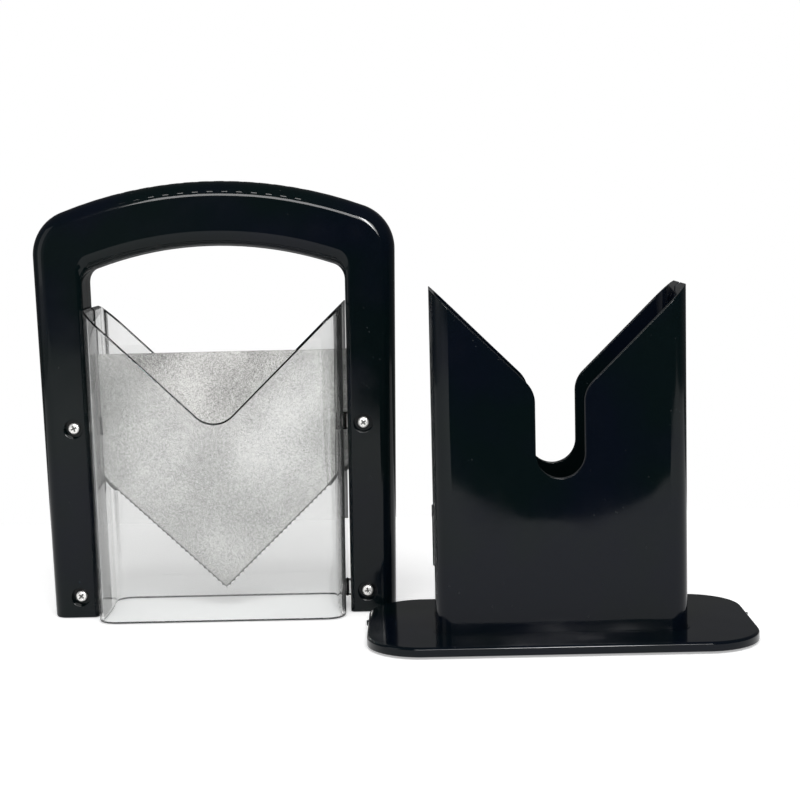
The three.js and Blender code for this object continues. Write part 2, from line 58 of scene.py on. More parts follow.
arcStep = 5  # degrees between the points of a small arc
roundSteps = 48  # sides of a turned form
past = 2  # how far a cutting form reaches past what it cuts
fitGap = 0.3  # clearance between pieces that fit into each other
nearBy = 0.01  # how close to a plane or a height counts as on it
samePoint = 0.001  # points closer than this are one
shortEdge = 0.0005  # edges shorter than this are dropped
cornerShare = 0.3  # share of a small corner's radius at which its middle point lies
bothSides = (-1, 1)


# Drawing outlines, and turning them into pieces

def vertsOf(geom):
    return [v for v in geom if isinstance(v, bmesh.types.BMVert)]


def whole(bm):
    return bm.verts[:] + bm.edges[:] + bm.faces[:]


def chain(bm, spots, tip=None):
    # Joins points by straight edges, on from the tip if there is one, and gives the last point back
    for spot in spots:
        after = bm.verts.new(spot)
        if tip:
            bm.edges.new((tip, after))
        tip = after
    return tip


def pen(bm, plane, start, moves, step=arcStep):
    # Each move is (a, b) for a straight line, or (a, b, degrees) for an arc about that point
    upright = plane == "xz"
    axis = Vector((0, -1, 0)) if upright else Vector((0, 0, 1))

    def at(a, b):
        return Vector((a, 0, b)) if upright else Vector((a, b, 0))

    tip = bm.verts.new(at(*start))
    for move in moves:
        if len(move) == 2:
            tip = chain(bm, [at(*move)], tip)
            continue
        a, b, degrees = move
        arc = bmesh.ops.spin(bm, geom=[tip], cent=at(a, b), axis=axis, angle=math.radians(degrees),
                             steps=max(2, round(abs(degrees) / step)), use_merge=False, use_duplicate=False)
        tip = vertsOf(arc["geom_last"])[0]
    return tip


def softCorners(corners):
    # From [a, b, radius] corners to a start and moves for the pen, each corner an arc of its radius
    moves = []
    for i, (a, b, radius) in enumerate(corners):
        here = Vector((a, b))
        if not radius:
            moves.append((a, b))
            continue
        back = (Vector(corners[i - 1][:2]) - here).normalized()
        ahead = (Vector(corners[(i + 1) % len(corners)][:2]) - here).normalized()
        half = back.angle(ahead) / 2
        centre = here + (back + ahead).normalized() * radius / math.sin(half)
        first = here + back * radius / math.tan(half)
        turn = 180 - math.degrees(2 * half)
        side = 1 if back.x * ahead.y - back.y * ahead.x < 0 else -1
        moves.append((first.x, first.y))
        moves.append((centre.x, centre.y, side * turn))
    return moves[0], moves[1:]


def roundedOblong(width, depth, corner, inset=0):
    w, d, r = width / 2 - inset, depth / 2 - inset, corner - inset
    return softCorners([(w, -d, r), (w, d, r), (-w, d, r), (-w, -d, r)])


def face(bm):
    bmesh.ops.remove_doubles(bm, verts=bm.verts, dist=samePoint)
    made = bmesh.ops.contextual_create(bm, geom=bm.edges[:])
    return made["faces"]


def push(bm, faces, offset):
    # Gives a flat face thickness along offset, and closes it
    made = bmesh.ops.extrude_face_region(bm, geom=faces, use_keep_orig=True)
    bmesh.ops.translate(bm, verts=vertsOf(made["geom"]), vec=Vector(offset))
    bmesh.ops.recalc_face_normals(bm, faces=bm.faces)


def prism(start, moves, y0, y1, step=arcStep):
    bm = bmesh.new()
    pen(bm, "xz", start, moves, step)
    push(bm, face(bm), (0, y1 - y0, 0))
    bmesh.ops.translate(bm, verts=bm.verts, vec=(0, y0, 0))
    return bm


def column(start, moves, z0, z1, step=arcStep):
    bm = bmesh.new()
    pen(bm, "xy", start, moves, step)
    push(bm, face(bm), (0, 0, z1 - z0))
    bmesh.ops.translate(bm, verts=bm.verts, vec=(0, 0, z0))
    return bm


def block(x0, x1, y0, y1, z0, z1):
    bm = bmesh.new()
    bmesh.ops.create_cube(bm, size=1)
    bmesh.ops.scale(bm, vec=(x1 - x0, y1 - y0, z1 - z0), verts=bm.verts)
    bmesh.ops.translate(bm, vec=((x0 + x1) / 2, (y0 + y1) / 2, (z0 + z1) / 2), verts=bm.verts)
    return bm


def sideBlock(side, near, far, y0, y1, z0, z1):
    # A block between two distances from the middle, on the side of that sign
    x0, x1 = sorted((side * near, side * far))
    return block(x0, x1, y0, y1, z0, z1)


def turned(profile, steps=roundSteps):
    # Spins [radius, height] points about the z axis
    bm = bmesh.new()
    chain(bm, [(radius, 0, height) for radius, height in profile])
    bmesh.ops.spin(bm, geom=bm.verts[:] + bm.edges[:], cent=(0, 0, 0), axis=(0, 0, 1), angle=2 * math.pi,
                   steps=steps, use_merge=True, use_duplicate=False)
    bmesh.ops.remove_doubles(bm, verts=bm.verts, dist=shortEdge)
    bmesh.ops.recalc_face_normals(bm, faces=bm.faces)
    return bm


def rotate(bm, degrees, axis):
    matrix = Matrix.Rotation(math.radians(degrees), 3, axis)
    bmesh.ops.rotate(bm, cent=(0, 0, 0), matrix=matrix, verts=bm.verts)


def rod(x, z, profile):
    # A turned form whose axis lies along y, its heights measured from the front backwards
    bm = turned(profile)
    rotate(bm, -90, "X")
    bmesh.ops.translate(bm, vec=(x, 0, z), verts=bm.verts)
    return bm


def post(x, y, profile):
    bm = turned(profile)
    bmesh.ops.translate(bm, vec=(x, y, 0), verts=bm.verts)
    return bm


def bar(radius, low, high):
    return [(0, low), (radius, low), (radius, high), (0, high)]


def trim(bm, at, normal, **side):
    # Cuts a closed form off at a plane, and closes it again
    cut = bmesh.ops.bisect_plane(bm, geom=whole(bm), plane_co=at, plane_no=normal, **side)
    rim = [e for e in cut["geom_cut"] if isinstance(e, bmesh.types.BMEdge)]
    bmesh.ops.holes_fill(bm, edges=rim, sides=0)


def gather(meshes):
    # Several forms as one bmesh
    bm = bmesh.new()
    for other in meshes:
        held = bpy.data.meshes.new("held")
        other.to_mesh(held)
        other.free()
        bm.from_mesh(held)
        bpy.data.meshes.remove(held)
    return bm


def loose(bm, name="loose"):
    mesh = bpy.data.meshes.new(name)
    bm.to_mesh(mesh)
    bm.free()
    obj = bpy.data.objects.new(name, mesh)
    bpy.context.scene.collection.objects.link(obj)
    return obj


def settle(obj, tools=()):
    # What an object's modifiers make of it, as a bmesh. The object and its tools are thrown away.
    bpy.context.view_layer.update()
    shown = obj.evaluated_get(bpy.context.evaluated_depsgraph_get())
    mesh = bpy.data.meshes.new_from_object(shown)
    result = bmesh.new()
    result.from_mesh(mesh)
    bpy.data.meshes.remove(mesh)
    for used in [*tools, obj]:
        old = used.data
        bpy.data.objects.remove(used)
        bpy.data.meshes.remove(old)
    return result


def combine(bm, steps):
    # Applies (operation, bmesh) pairs to a form, one after another, and gives a bmesh back
    obj = loose(bm)
    tools = []
    for operation, toolMesh in steps:
        tool = loose(toolMesh, "tool")
        tools.append(tool)
        mod = obj.modifiers.new(operation.lower(), "BOOLEAN")
        mod.operation = operation
        mod.solver = "EXACT"
        mod.use_self = True
        mod.object = tool
    result = settle(obj, tools)
    bmesh.ops.remove_doubles(result, verts=result.verts, dist=samePoint)
    bmesh.ops.dissolve_degenerate(result, dist=shortEdge, edges=result.edges)
    return result


flatWeight = 80  # how strongly the large faces set the shading beside them


def place(bm, name, middle, body, node, material, edge=0.0, sharp=40, segments=3):
    # Millimetres to metres, on to its middle, and into the scene as one piece
    scaled = Matrix.Translation(middle) @ Matrix.Diagonal((mm, mm, mm, 1))
    bmesh.ops.transform(bm, matrix=scaled, verts=bm.verts)
    obj = loose(bm, name)
    obj.data.shade_smooth()
    if edge:
        mod = obj.modifiers.new("edges", "BEVEL")
        mod.width = edge * mm
        mod.segments = segments
        mod.limit_method = "ANGLE"
        mod.angle_limit = math.radians(sharp)
        mod.use_clamp_overlap = False
        mod.miter_outer = "MITER_ARC"
    else:
        obj.data.set_sharp_from_angle(angle=math.radians(sharp))
    mod = obj.modifiers.new("flats", "WEIGHTED_NORMAL")
    mod.keep_sharp = True
    mod.weight = flatWeight
    obj.data.materials.append(material)
    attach(obj, body)
    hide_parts(node)
    print("made", name, len(obj.data.polygons), "faces")
    return obj


# Materials. A noise is given as (scale, detail, roughness), and the depth of a bump is in metres.

def put(tree, value, node, socket):
    # Sets a number or a colour on an input, or wires an output to it
    if isinstance(value, (int, float)):
        node.inputs[socket].default_value = value
    elif isinstance(value, tuple):
        node.inputs[socket].default_value = (*value, 1)
    else:
        tree.links.new(value, node.inputs[socket])


def noise(tree, vector, scale, detail=2.0, roughness=0.5):
    node = tree.nodes.new("ShaderNodeTexNoise")
    put(tree, scale, node, "Scale")
    put(tree, detail, node, "Detail")
    put(tree, roughness, node, "Roughness")
    put(tree, vector, node, "Vector")
    return node.outputs["Fac"]


def ramp(tree, value, low, high, toLow, toHigh):
    node = tree.nodes.new("ShaderNodeMapRange")
    put(tree, low, node, "From Min")
    put(tree, high, node, "From Max")
    put(tree, toLow, node, "To Min")
    put(tree, toHigh, node, "To Max")
    put(tree, value, node, "Value")
    return node.outputs["Result"]


def maths(tree, operation, *values):
    node = tree.nodes.new("ShaderNodeMath")
    node.operation = operation
    for i, value in enumerate(values):
        put(tree, value, node, i)
    return node.outputs["Value"]


def blend(tree, factor, one, other, kind="FLOAT"):
    node = tree.nodes.new("ShaderNodeMix")
    node.data_type = kind
    put(tree, factor, node, "Factor")
    put(tree, one, node, "A")
    put(tree, other, node, "B")
    return node.outputs["Result"]


def tint(tree, mask, plain, marked):
    return blend(tree, mask, plain, marked, "RGBA")


def bumpFrom(tree, height, strength, distance):
    node = tree.nodes.new("ShaderNodeBump")
    put(tree, strength, node, "Strength")
    put(tree, distance, node, "Distance")
    put(tree, height, node, "Height")
    return node.outputs["Normal"]


def objectSpot(tree):
    return tree.nodes.new("ShaderNodeTexCoord").outputs["Object"]


def axes(tree, vector):
    node = tree.nodes.new("ShaderNodeSeparateXYZ")
    put(tree, vector, node, "Vector")
    return node.outputs


marksLook = {
    "smudge": (34, 5, 0.62), "smudgeSpan": (0.42, 0.72), "specks": 260, "speckSpan": (0.05, 0.1),
    "speckPlaces": (90, 1, 0.5), "placesSpan": (0.6, 0.66), "wave": (26, 1, 0.4), "waveDepth": 0.002,
    "cast": (17, 2, 0.55), "castSpan": (0.4, 0.6),
}


def makeMarksGroup():
    # Handling smudges, dust, slow waves and a change of cast, as masks for any of the moulded plastics
    look = marksLook
    tree = bpy.data.node_groups.new("handlingMarks", "ShaderNodeTree")
    tree.interface.new_socket(name="Size", in_out="INPUT", socket_type="NodeSocketFloat")
    for name in ("Smudge", "Dust", "Wave", "Cast"):
        tree.interface.new_socket(name=name, in_out="OUTPUT", socket_type="NodeSocketFloat")
    into, out = tree.nodes.new("NodeGroupInput"), tree.nodes.new("NodeGroupOutput")
    scaled = tree.nodes.new("ShaderNodeVectorMath")
    scaled.operation = "SCALE"
    put(tree, objectSpot(tree), scaled, "Vector")
    put(tree, into.outputs["Size"], scaled, "Scale")
    where = scaled.outputs["Vector"]
    specks = tree.nodes.new("ShaderNodeTexVoronoi")
    put(tree, look["specks"], specks, "Scale")
    put(tree, 1, specks, "Randomness")
    put(tree, where, specks, "Vector")
    speck = ramp(tree, specks.outputs["Distance"], *look["speckSpan"], 1, 0)
    here = ramp(tree, noise(tree, where, *look["speckPlaces"]), *look["placesSpan"], 0, 1)
    put(tree, ramp(tree, noise(tree, where, *look["smudge"]), *look["smudgeSpan"], 0, 1), out, "Smudge")
    put(tree, maths(tree, "MULTIPLY", speck, here), out, "Dust")
    put(tree, noise(tree, where, *look["wave"]), out, "Wave")
    put(tree, ramp(tree, noise(tree, where, *look["cast"]), *look["castSpan"], 0, 1), out, "Cast")
    return tree


handlingMarks = makeMarksGroup()
noiseSpan = (0.3, 0.7)  # what a noise mostly keeps to


def shader(name):
    material = bpy.data.materials.new(name)
    material.use_nodes = True
    tree = material.node_tree
    return material, tree, tree.nodes["Principled BSDF"]


def marks(tree, size):
    node = tree.nodes.new("ShaderNodeGroup")
    node.node_tree = handlingMarks
    put(tree, size, node, "Size")
    return node.outputs


glossBlackLook = {
    "teal": (0.0019, 0.0049, 0.0055), "navy": (0.0021, 0.0037, 0.0075), "dusty": (0.03, 0.034, 0.036),
    "polished": 0.055, "smudged": 0.13, "shine": 0.17, "waviness": 0.18, "markSize": 1,
}


def glossBlack():
    look = glossBlackLook
    material, tree, surface = shader("glossBlackPlastic")
    mark = marks(tree, look["markSize"])
    cast = tint(tree, mark["Cast"], look["teal"], look["navy"])
    put(tree, tint(tree, mark["Dust"], cast, look["dusty"]), surface, "Base Color")
    put(tree, ramp(tree, mark["Smudge"], 0, 1, look["polished"], look["smudged"]), surface, "Roughness")
    put(tree, look["shine"], surface, "Specular IOR Level")
    put(tree, bumpFrom(tree, mark["Wave"], look["waviness"], marksLook["waveDepth"]), surface, "Normal")
    return material


# the rims' colour here is near black, painted shade for their dark look edge on
clearLook = {
    "tint": (1, 1, 1), "clear": 0.97, "rimShadeTint": (0.008, 0.01, 0.011), "edgeClear": 1, "index": 1.49,
    "rough": 0.012, "hazy": 0.05, "waviness": 0.03, "markSize": 0.8, "lets": (0.93, 0.94, 0.94),
    "depthTint": (0.40, 0.41, 0.395), "density": 120,
}


def clearPlastic(name, colour, clearness):
    look = clearLook
    material, tree, surface = shader(name)
    mark = marks(tree, look["markSize"])
    put(tree, colour, surface, "Base Color")
    put(tree, look["index"], surface, "IOR")
    put(tree, clearness, surface, "Transmission Weight")
    put(tree, ramp(tree, mark["Smudge"], 0, 1, look["rough"], look["hazy"]), surface, "Roughness")
    put(tree, bumpFrom(tree, mark["Wave"], look["waviness"], marksLook["waveDepth"]), surface, "Normal")
    # lamps shine through it, as through thin clear plastic
    through = tree.nodes.new("ShaderNodeBsdfTransparent")
    put(tree, look["lets"], through, "Color")
    path = tree.nodes.new("ShaderNodeLightPath").outputs
    mix = tree.nodes.new("ShaderNodeMixShader")
    put(tree, maths(tree, "MAXIMUM", path["Is Shadow Ray"], path["Is Diffuse Ray"]), mix, 0)
    put(tree, surface.outputs["BSDF"], mix, 1)
    put(tree, through.outputs["BSDF"], mix, 2)
    out = tree.nodes["Material Output"]
    put(tree, mix.outputs["Shader"], out, "Surface")
    # the longer the way through the wall, the greyer
    grey = tree.nodes.new("ShaderNodeVolumeAbsorption")
    put(tree, look["depthTint"], grey, "Color")
    put(tree, look["density"], grey, "Density")
    put(tree, grey.outputs["Volume"], out, "Volume")
    return material


steelLook = {
    "dark": (0.09, 0.09, 0.088), "light": (0.52, 0.515, 0.50), "grain": (3900, 1, 0.6),
    "broadGrain": (780, 2, 0.6), "broad": 0.2, "grainSpan": (0.36, 0.62), "rough": (0.42, 0.62),
    "metal": 0.55, "pits": 0.5, "pitDepth": 0.0001, "cloud": (24, 2, 0.5), "cloudSpan": (0.35, 0.65),
    "cloudy": 0.14, "paintedShade": 0.2, "paintedShadeLean": -0.475, "paintedShadeEdge": (-0.187, -0.166),
}


def blastedSteel():
    # Speckled by the blasting, with slow cloudy changes over the face, and painted shade darkening its
    # upper left end
    look = steelLook
    material, tree, surface = shader("blastedSteel")
    where = objectSpot(tree)
    fine = noise(tree, where, *look["grain"])
    broad = noise(tree, where, *look["broadGrain"])
    cloud = noise(tree, where, *look["cloud"])
    grain = ramp(tree, blend(tree, look["broad"], fine, broad), *look["grainSpan"], 0, 1)
    cloudy = ramp(tree, cloud, *look["cloudSpan"], -look["cloudy"], look["cloudy"])
    # painted shade: the blade darker at its left end, the more so higher up, along a leaning edge
    spot = axes(tree, where)
    across = maths(tree, "MULTIPLY_ADD", spot["Z"], look["paintedShadeLean"], spot["X"])
    paintedShade = ramp(tree, across, *look["paintedShadeEdge"], look["paintedShade"], 0)
    shade = maths(tree, "SUBTRACT", maths(tree, "SUBTRACT", grain, cloudy), paintedShade)
    put(tree, tint(tree, shade, look["dark"], look["light"]), surface, "Base Color")
    put(tree, ramp(tree, cloud, *noiseSpan, *look["rough"]), surface, "Roughness")
    put(tree, look["metal"], surface, "Metallic")
    put(tree, bumpFrom(tree, grain, look["pits"], look["pitDepth"]), surface, "Normal")
    return material


groundLook = {
    "dark": (0.08, 0.08, 0.078), "light": (0.176, 0.176, 0.1716), "lines": (1300, 2, 0.6), "rough": 0.5,
    "metal": 0.2, "relief": 0.2, "depth": 0.0001,
}


def groundSteel():
    # The ground edge, duller than the face and without its speckle
    look = groundLook
    material, tree, surface = shader("groundSteel")
    lines = noise(tree, objectSpot(tree), *look["lines"])
    put(tree, tint(tree, lines, look["dark"], look["light"]), surface, "Base Color")
    put(tree, look["rough"], surface, "Roughness")
    put(tree, look["metal"], surface, "Metallic")
    put(tree, bumpFrom(tree, lines, look["relief"], look["depth"]), surface, "Normal")
    return material


nickelLook = {
    "bright": (0.9, 0.89, 0.87), "dull": (0.7, 0.69, 0.67), "cloud": (700, 3, 0.6), "rough": (0.2, 0.36),
    "metal": 0.6, "relief": 0.2, "depth": 0.0001,
}


def nickel():
    look = nickelLook
    material, tree, surface = shader("nickelPlate")
    cloud = noise(tree, objectSpot(tree), *look["cloud"])
    put(tree, tint(tree, cloud, look["bright"], look["dull"]), surface, "Base Color")
    put(tree, ramp(tree, cloud, *noiseSpan, *look["rough"]), surface, "Roughness")
    put(tree, look["metal"], surface, "Metallic")
    put(tree, bumpFrom(tree, cloud, look["relief"], look["depth"]), surface, "Normal")
    return material


mattLook = {"markSize": 1.3, "relief": 0.6}
# painted shade for the deep faces of the screws' cross recesses, darker than the plated heads
recessShadeLook = {
    "plain": (0.05, 0.05, 0.048), "marked": (0.08, 0.08, 0.0768), "rough": (0.5, 0.7),
    "grain": (900, 3, 0.6), "depth": 0.0001,
}
satinLook = {
    "plain": (0.008, 0.009, 0.011), "marked": (0.014, 0.015, 0.017), "rough": (0.3, 0.5),
    "grain": (900, 3, 0.6), "depth": 0.0002,
}
rubberLook = {
    "plain": (0.012, 0.012, 0.012), "marked": (0.028, 0.027, 0.026), "rough": (0.75, 0.95),
    "grain": (2400, 3, 0.6), "depth": 0.0004,
}


def matt(name, look):
    material, tree, surface = shader(name)
    mark = marks(tree, mattLook["markSize"])
    grain = noise(tree, objectSpot(tree), *look["grain"])
    put(tree, tint(tree, mark["Smudge"], look["plain"], look["marked"]), surface, "Base Color")
    put(tree, ramp(tree, grain, *noiseSpan, *look["rough"]), surface, "Roughness")
    put(tree, bumpFrom(tree, grain, mattLook["relief"], look["depth"]), surface, "Normal")
    return material


black = glossBlack()
clear = clearPlastic("clearPlastic", clearLook["tint"], clearLook["clear"])
# the guard's rims in near-black clear plastic: painted shade for their dark look edge on
guardRimShade = clearPlastic("clearPlasticRimShade", clearLook["rimShadeTint"], clearLook["edgeClear"])
steel = blastedSteel()
ground = groundSteel()
plated = nickel()
# dull carries painted shade: the dark of the screws' recesses
dull = matt("paintedRecessShade", recessShadeLook)
satin = matt("satinBlackPlastic", satinLook)
rubber = matt("mattRubber", rubberLook)
print("materials ready")


# Screws: domed pan heads with a cross recess. The dome is (share of the radius, depth below the top).

screwSize = {
    "head": 2.9, "headHeight": 1.9, "sides": 32, "underRound": 0.15,
    "dome": ((0, 0), (0.4, 0.02), (0.7, 0.08), (0.88, 0.22), (0.96, 0.45), (1, 0.8)),
    "shank": 1.5, "hole": 1.8, "thread": 0.16, "threadPitch": 0.9, "threadFrom": 2, "threadTo": 2.4,
    "root": 0.3, "crest": (0.55, 0.6), "point": 1.5, "pointNarrow": 0.2,
    "crossWidth": 1.0, "crossReach": 1.85, "crossDepth": 1.3, "crossAbove": 1, "crossTaper": 0.72,
    "shadeShare": 0.55, "shadeMargin": 0.1,
    "legLength": 18, "holderLength": 13,
}


def screwMesh(length):
    # Upright, its head's top at zero and its shank below
    s = screwSize
    r, h, shank, tip = s["head"], s["headHeight"], s["shank"], -s["headHeight"] - length
    profile = [(r * share, -drop) for share, drop in s["dome"]]
    profile += [(r, -h + s["underRound"]), (r - s["underRound"], -h), (shank, -h)]
    z = -h - s["threadFrom"]
    crestFrom, crestTo = s["crest"]
    while z > tip + s["threadTo"]:
        profile += [(shank - s["thread"], z), (shank - s["thread"], z - s["root"]), (shank, z - crestFrom),
                    (shank, z - crestTo)]
        z -= s["threadPitch"]
    profile += [(shank - s["pointNarrow"], tip + s["point"]), (0, tip)]
    reach, half, low = s["crossReach"], s["crossWidth"] / 2, -s["crossDepth"]
    arms = []
    for x, y in ((reach, half), (half, reach)):
        arm = block(-x, x, -y, y, low, s["crossAbove"])
        for v in arm.verts:
            if v.co.z < 0:
                v.co.x *= s["crossTaper"]
                v.co.y *= s["crossTaper"]
        arms.append(arm)
    bm = combine(turned(profile, s["sides"]), [("DIFFERENCE", gather(arms))])
    # the deeper faces of the recess get the second material, painted shade for the shadow down in the
    # recess
    margin = s["shadeMargin"]
    high = low + margin + s["shadeShare"] * s["crossDepth"]
    for f in bm.faces:
        spot = f.calc_center_median()
        if max(abs(spot.x), abs(spot.y)) < reach + margin / 2 and low - margin < spot.z < high:
            f.material_index = 1
    return bm


def placeScrew(name, node, spin, tilt, at, body, middle, length):
    bm = screwMesh(length)
    rotate(bm, spin, "Z")
    rotate(bm, tilt, "X")
    bmesh.ops.translate(bm, vec=at, verts=bm.verts)
    screw = place(bm, name, middle, body, node, plated, sharp=38)
    # the second slot holds the painted recess shade
    screw.data.materials.append(dull)


# Handle shells: an arched frame, split down its middle plane

handleSize = {
    "depth": 27, "parting": 0.15, "archCentre": 5, "archRadius": 222, "band": 33.5,
    "footHalf": 90.4, "shoulderHalf": 94.1, "shoulderHeight": 195, "shoulderCorner": 24,
    "footRound": 2.5, "footStep": 9, "gapHalf": 66.6, "gapLean": 1.6, "gapCorner": 8.5, "runOut": 30,
    "outerStep": 2.5, "innerStep": 1.8, "wall": 2.4,
    "edge": 8, "edgeSteps": 12, "gripRound": 8.4, "legRound": 2.6, "slimFrom": 20, "slimTo": 88,
    "grooves": 13, "groovePitch": 7.8, "grooveWidth": 3, "grooveDepth": 0.12, "grooveTo": 65,
    "grooveSteps": 8, "grooveEnd": 1, "grooveSlope": 84, "grooveClear": 4,
    "screwX": 75.7, "screwHeights": (100.2, 10.9), "bore": 4.8, "boreDepth": 3.6, "boreLip": 0.45,
    "boss": 6, "bossRoot": 1.2, "bladeSlot": (65.1, 138.3, 0.8), "earSlot": (4.8, -3.5, 0.15),
    "slotOverlap": 0.05,
}


def screwPlaces():
    return [(side * handleSize["screwX"], z) for side in bothSides for z in handleSize["screwHeights"]]


def archOutline(foot, shoulder, radius, corner, inset=0):
    # Up the right side from below the foot, over the crown and down the left: leaning sides, shoulders and
    # one wide arc
    h = handleSize
    upward = Vector((shoulder - foot, h["shoulderHeight"])).normalized()
    outward = Vector((upward.y, -upward.x))
    centre = Vector((0, h["archCentre"]))
    turn = Vector((foot, 0)) - outward * corner - centre
    along = turn.dot(upward)
    rise = math.sqrt(along ** 2 - turn.length_squared + (radius - corner) ** 2) - along
    turn += upward * rise
    first, last = math.atan2(outward.y, outward.x), math.atan2(turn.y, turn.x)
    cornerAt = turn + centre
    start = Vector((foot, 0)) - outward * inset - upward * h["runOut"]
    begin = cornerAt + outward * (corner - inset)
    moves = [(begin.x, begin.y), (cornerAt.x, cornerAt.y, math.degrees(last - first)),
             (0, h["archCentre"], math.degrees(math.pi - 2 * last)),
             (-cornerAt.x, cornerAt.y, math.degrees(last - first)), (-start.x, start.y)]
    return start, moves


def rimRound(edge, skin):
    # How far an edge of the front rim is rounded: the grip's underside fully, the legs' inner edges little,
    # and the corners between them by how steep they stand
    h = handleSize
    one, other = (v.co for v in edge.verts)
    spot = (one + other) / 2
    if max(one.z, other.z) < 0:
        return 0
    leg = abs(spot.x) > (h["footHalf"] + h["gapHalf"]) / 2 and spot.z < h["shoulderHeight"]
    if leg or Vector((spot.x, spot.z - h["archCentre"])).length > h["archRadius"] - h["band"] / 2:
        return h["edge"] - skin
    slope = math.degrees(math.atan2(abs(one.z - other.z), abs(one.x - other.x)))
    share = min(1, max(0, (slope - h["slimFrom"]) / (h["slimTo"] - h["slimFrom"])))
    share *= share * (3 - 2 * share)  # eases in and out
    return h["gripRound"] + (h["legRound"] - h["gripRound"]) * share - skin


def frameForm(skin):
    # The front half of the frame as one solid, the edges of its face rounded, at a depth of skin inside it
    h = handleSize
    bm = bmesh.new()
    weight = bm.edges.layers.float.new("bevel_weight_edge")
    innerRadius, innerShoulder = h["archRadius"] - h["band"], h["gapHalf"] + h["gapLean"]
    outer = archOutline(h["footHalf"], h["shoulderHalf"], h["archRadius"], h["shoulderCorner"], skin)
    inner = archOutline(h["gapHalf"], innerShoulder, innerRadius, h["gapCorner"], -skin)
    outerEnd = pen(bm, "xz", *outer, step=h["outerStep"])
    bm.verts.ensure_lookup_table()
    outerStart = bm.verts[0]
    known = set(bm.verts)
    innerEnd = pen(bm, "xz", *inner, step=h["innerStep"])
    innerStart = [v for v in bm.verts if v not in known][0]
    bm.edges.new((outerStart, innerStart))
    bm.edges.new((outerEnd, innerEnd))
    front = -h["depth"] / 2 + skin
    back = past if skin else -h["parting"]
    push(bm, face(bm), (0, back - front, 0))
    bmesh.ops.translate(bm, verts=bm.verts, vec=(0, front, 0))
    widest = h["gripRound"] - skin
    for edge in bm.edges:
        if all(v.co.y < front + nearBy for v in edge.verts):
            edge[weight] = rimRound(edge, skin) / widest
    obj = loose(bm)
    mod = obj.modifiers.new("rims", "BEVEL")
    mod.limit_method = "WEIGHT"
    mod.width = widest
    mod.segments = h["edgeSteps"]
    mod.profile = 0.5
    mod.use_clamp_overlap = False
    bm = settle(obj)
    trim(bm, (0, 0, skin), (0, 0, 1), clear_inner=True)  # level feet
    bmesh.ops.recalc_face_normals(bm, faces=bm.faces)
    return bm


def footTools():
    # What rounds the outer corner of each foot
    h = handleSize
    r, slope = h["footRound"], (h["shoulderHalf"] - h["footHalf"]) / h["shoulderHeight"]
    lean = math.atan(slope)
    x = h["footHalf"] + slope * r - r / math.cos(lean)
    swing = 90 - math.degrees(lean)
    touch = r * (1 - math.sin(lean))
    far, low, deep = h["footHalf"] + 4, -1, 20
    tools = []
    for side in bothSides:
        moves = [(side * x, 0), (side * x, r, side * swing), (side * far, touch),
                 (side * far, low), (side * x, low)]
        tools.append(prism((side * x, low), moves, -deep, deep, h["footStep"]))
    return gather(tools)


def grooveTools():
    # Slabs whose inner edge follows the rounded top of the arch, a groove's depth below it, then drops more
    # steeply to a small ledge
    h = handleSize
    slabs = []
    top, flat = h["archRadius"], -(h["depth"] / 2 - h["edge"])
    slope = math.radians(h["grooveSlope"])
    drop = Vector((0, -math.cos(slope), -math.sin(slope))) * h["grooveEnd"]
    for k in range(h["grooves"]):
        bm = bmesh.new()
        tip = bm.verts.new((0, 0, top - h["grooveDepth"]))
        side = chain(bm, [(0, flat, top - h["grooveDepth"])], tip)
        made = bmesh.ops.spin(bm, geom=[side], cent=(0, flat, top - h["edge"]), axis=(1, 0, 0),
                              angle=math.radians(h["grooveTo"]), steps=h["grooveSteps"], use_merge=False,
                              use_duplicate=False)
        low = vertsOf(made["geom_last"])[0]
        ledge = low.co + drop
        front, above = ledge.y - h["grooveClear"], top + h["grooveClear"]
        last = chain(bm, [ledge, (0, front, ledge.z), (0, front, above), (0, 0, above)], low)
        bm.edges.new((last, tip))
        bmesh.ops.translate(bm, vec=(-h["grooveWidth"] / 2, 0, 0), verts=bm.verts)
        push(bm, face(bm), (h["grooveWidth"], 0, 0))
        lean = (k - (h["grooves"] - 1) / 2) * h["groovePitch"] / h["archRadius"]
        rotate(bm, math.degrees(lean), "Y")
        bmesh.ops.translate(bm, vec=(0, 0, h["archCentre"]), verts=bm.verts)
        slabs.append(bm)
    return gather(slabs)


def legSlotTools():
    h = handleSize
    near, far = h["gapHalf"] - past, h["gapHalf"] + h["gapLean"] + h["wall"] + past
    low, high, thick = h["bladeSlot"]
    tall, front, back = h["earSlot"]
    cuts = []
    for side in bothSides:
        cuts.append(sideBlock(side, near, far, -thick, thick, low, high))
        for z in h["screwHeights"]:
            ends = back if z < low else -thick + h["slotOverlap"]
            cuts.append(sideBlock(side, near, far, front, ends, z - tall, z + tall))
    return gather(cuts)


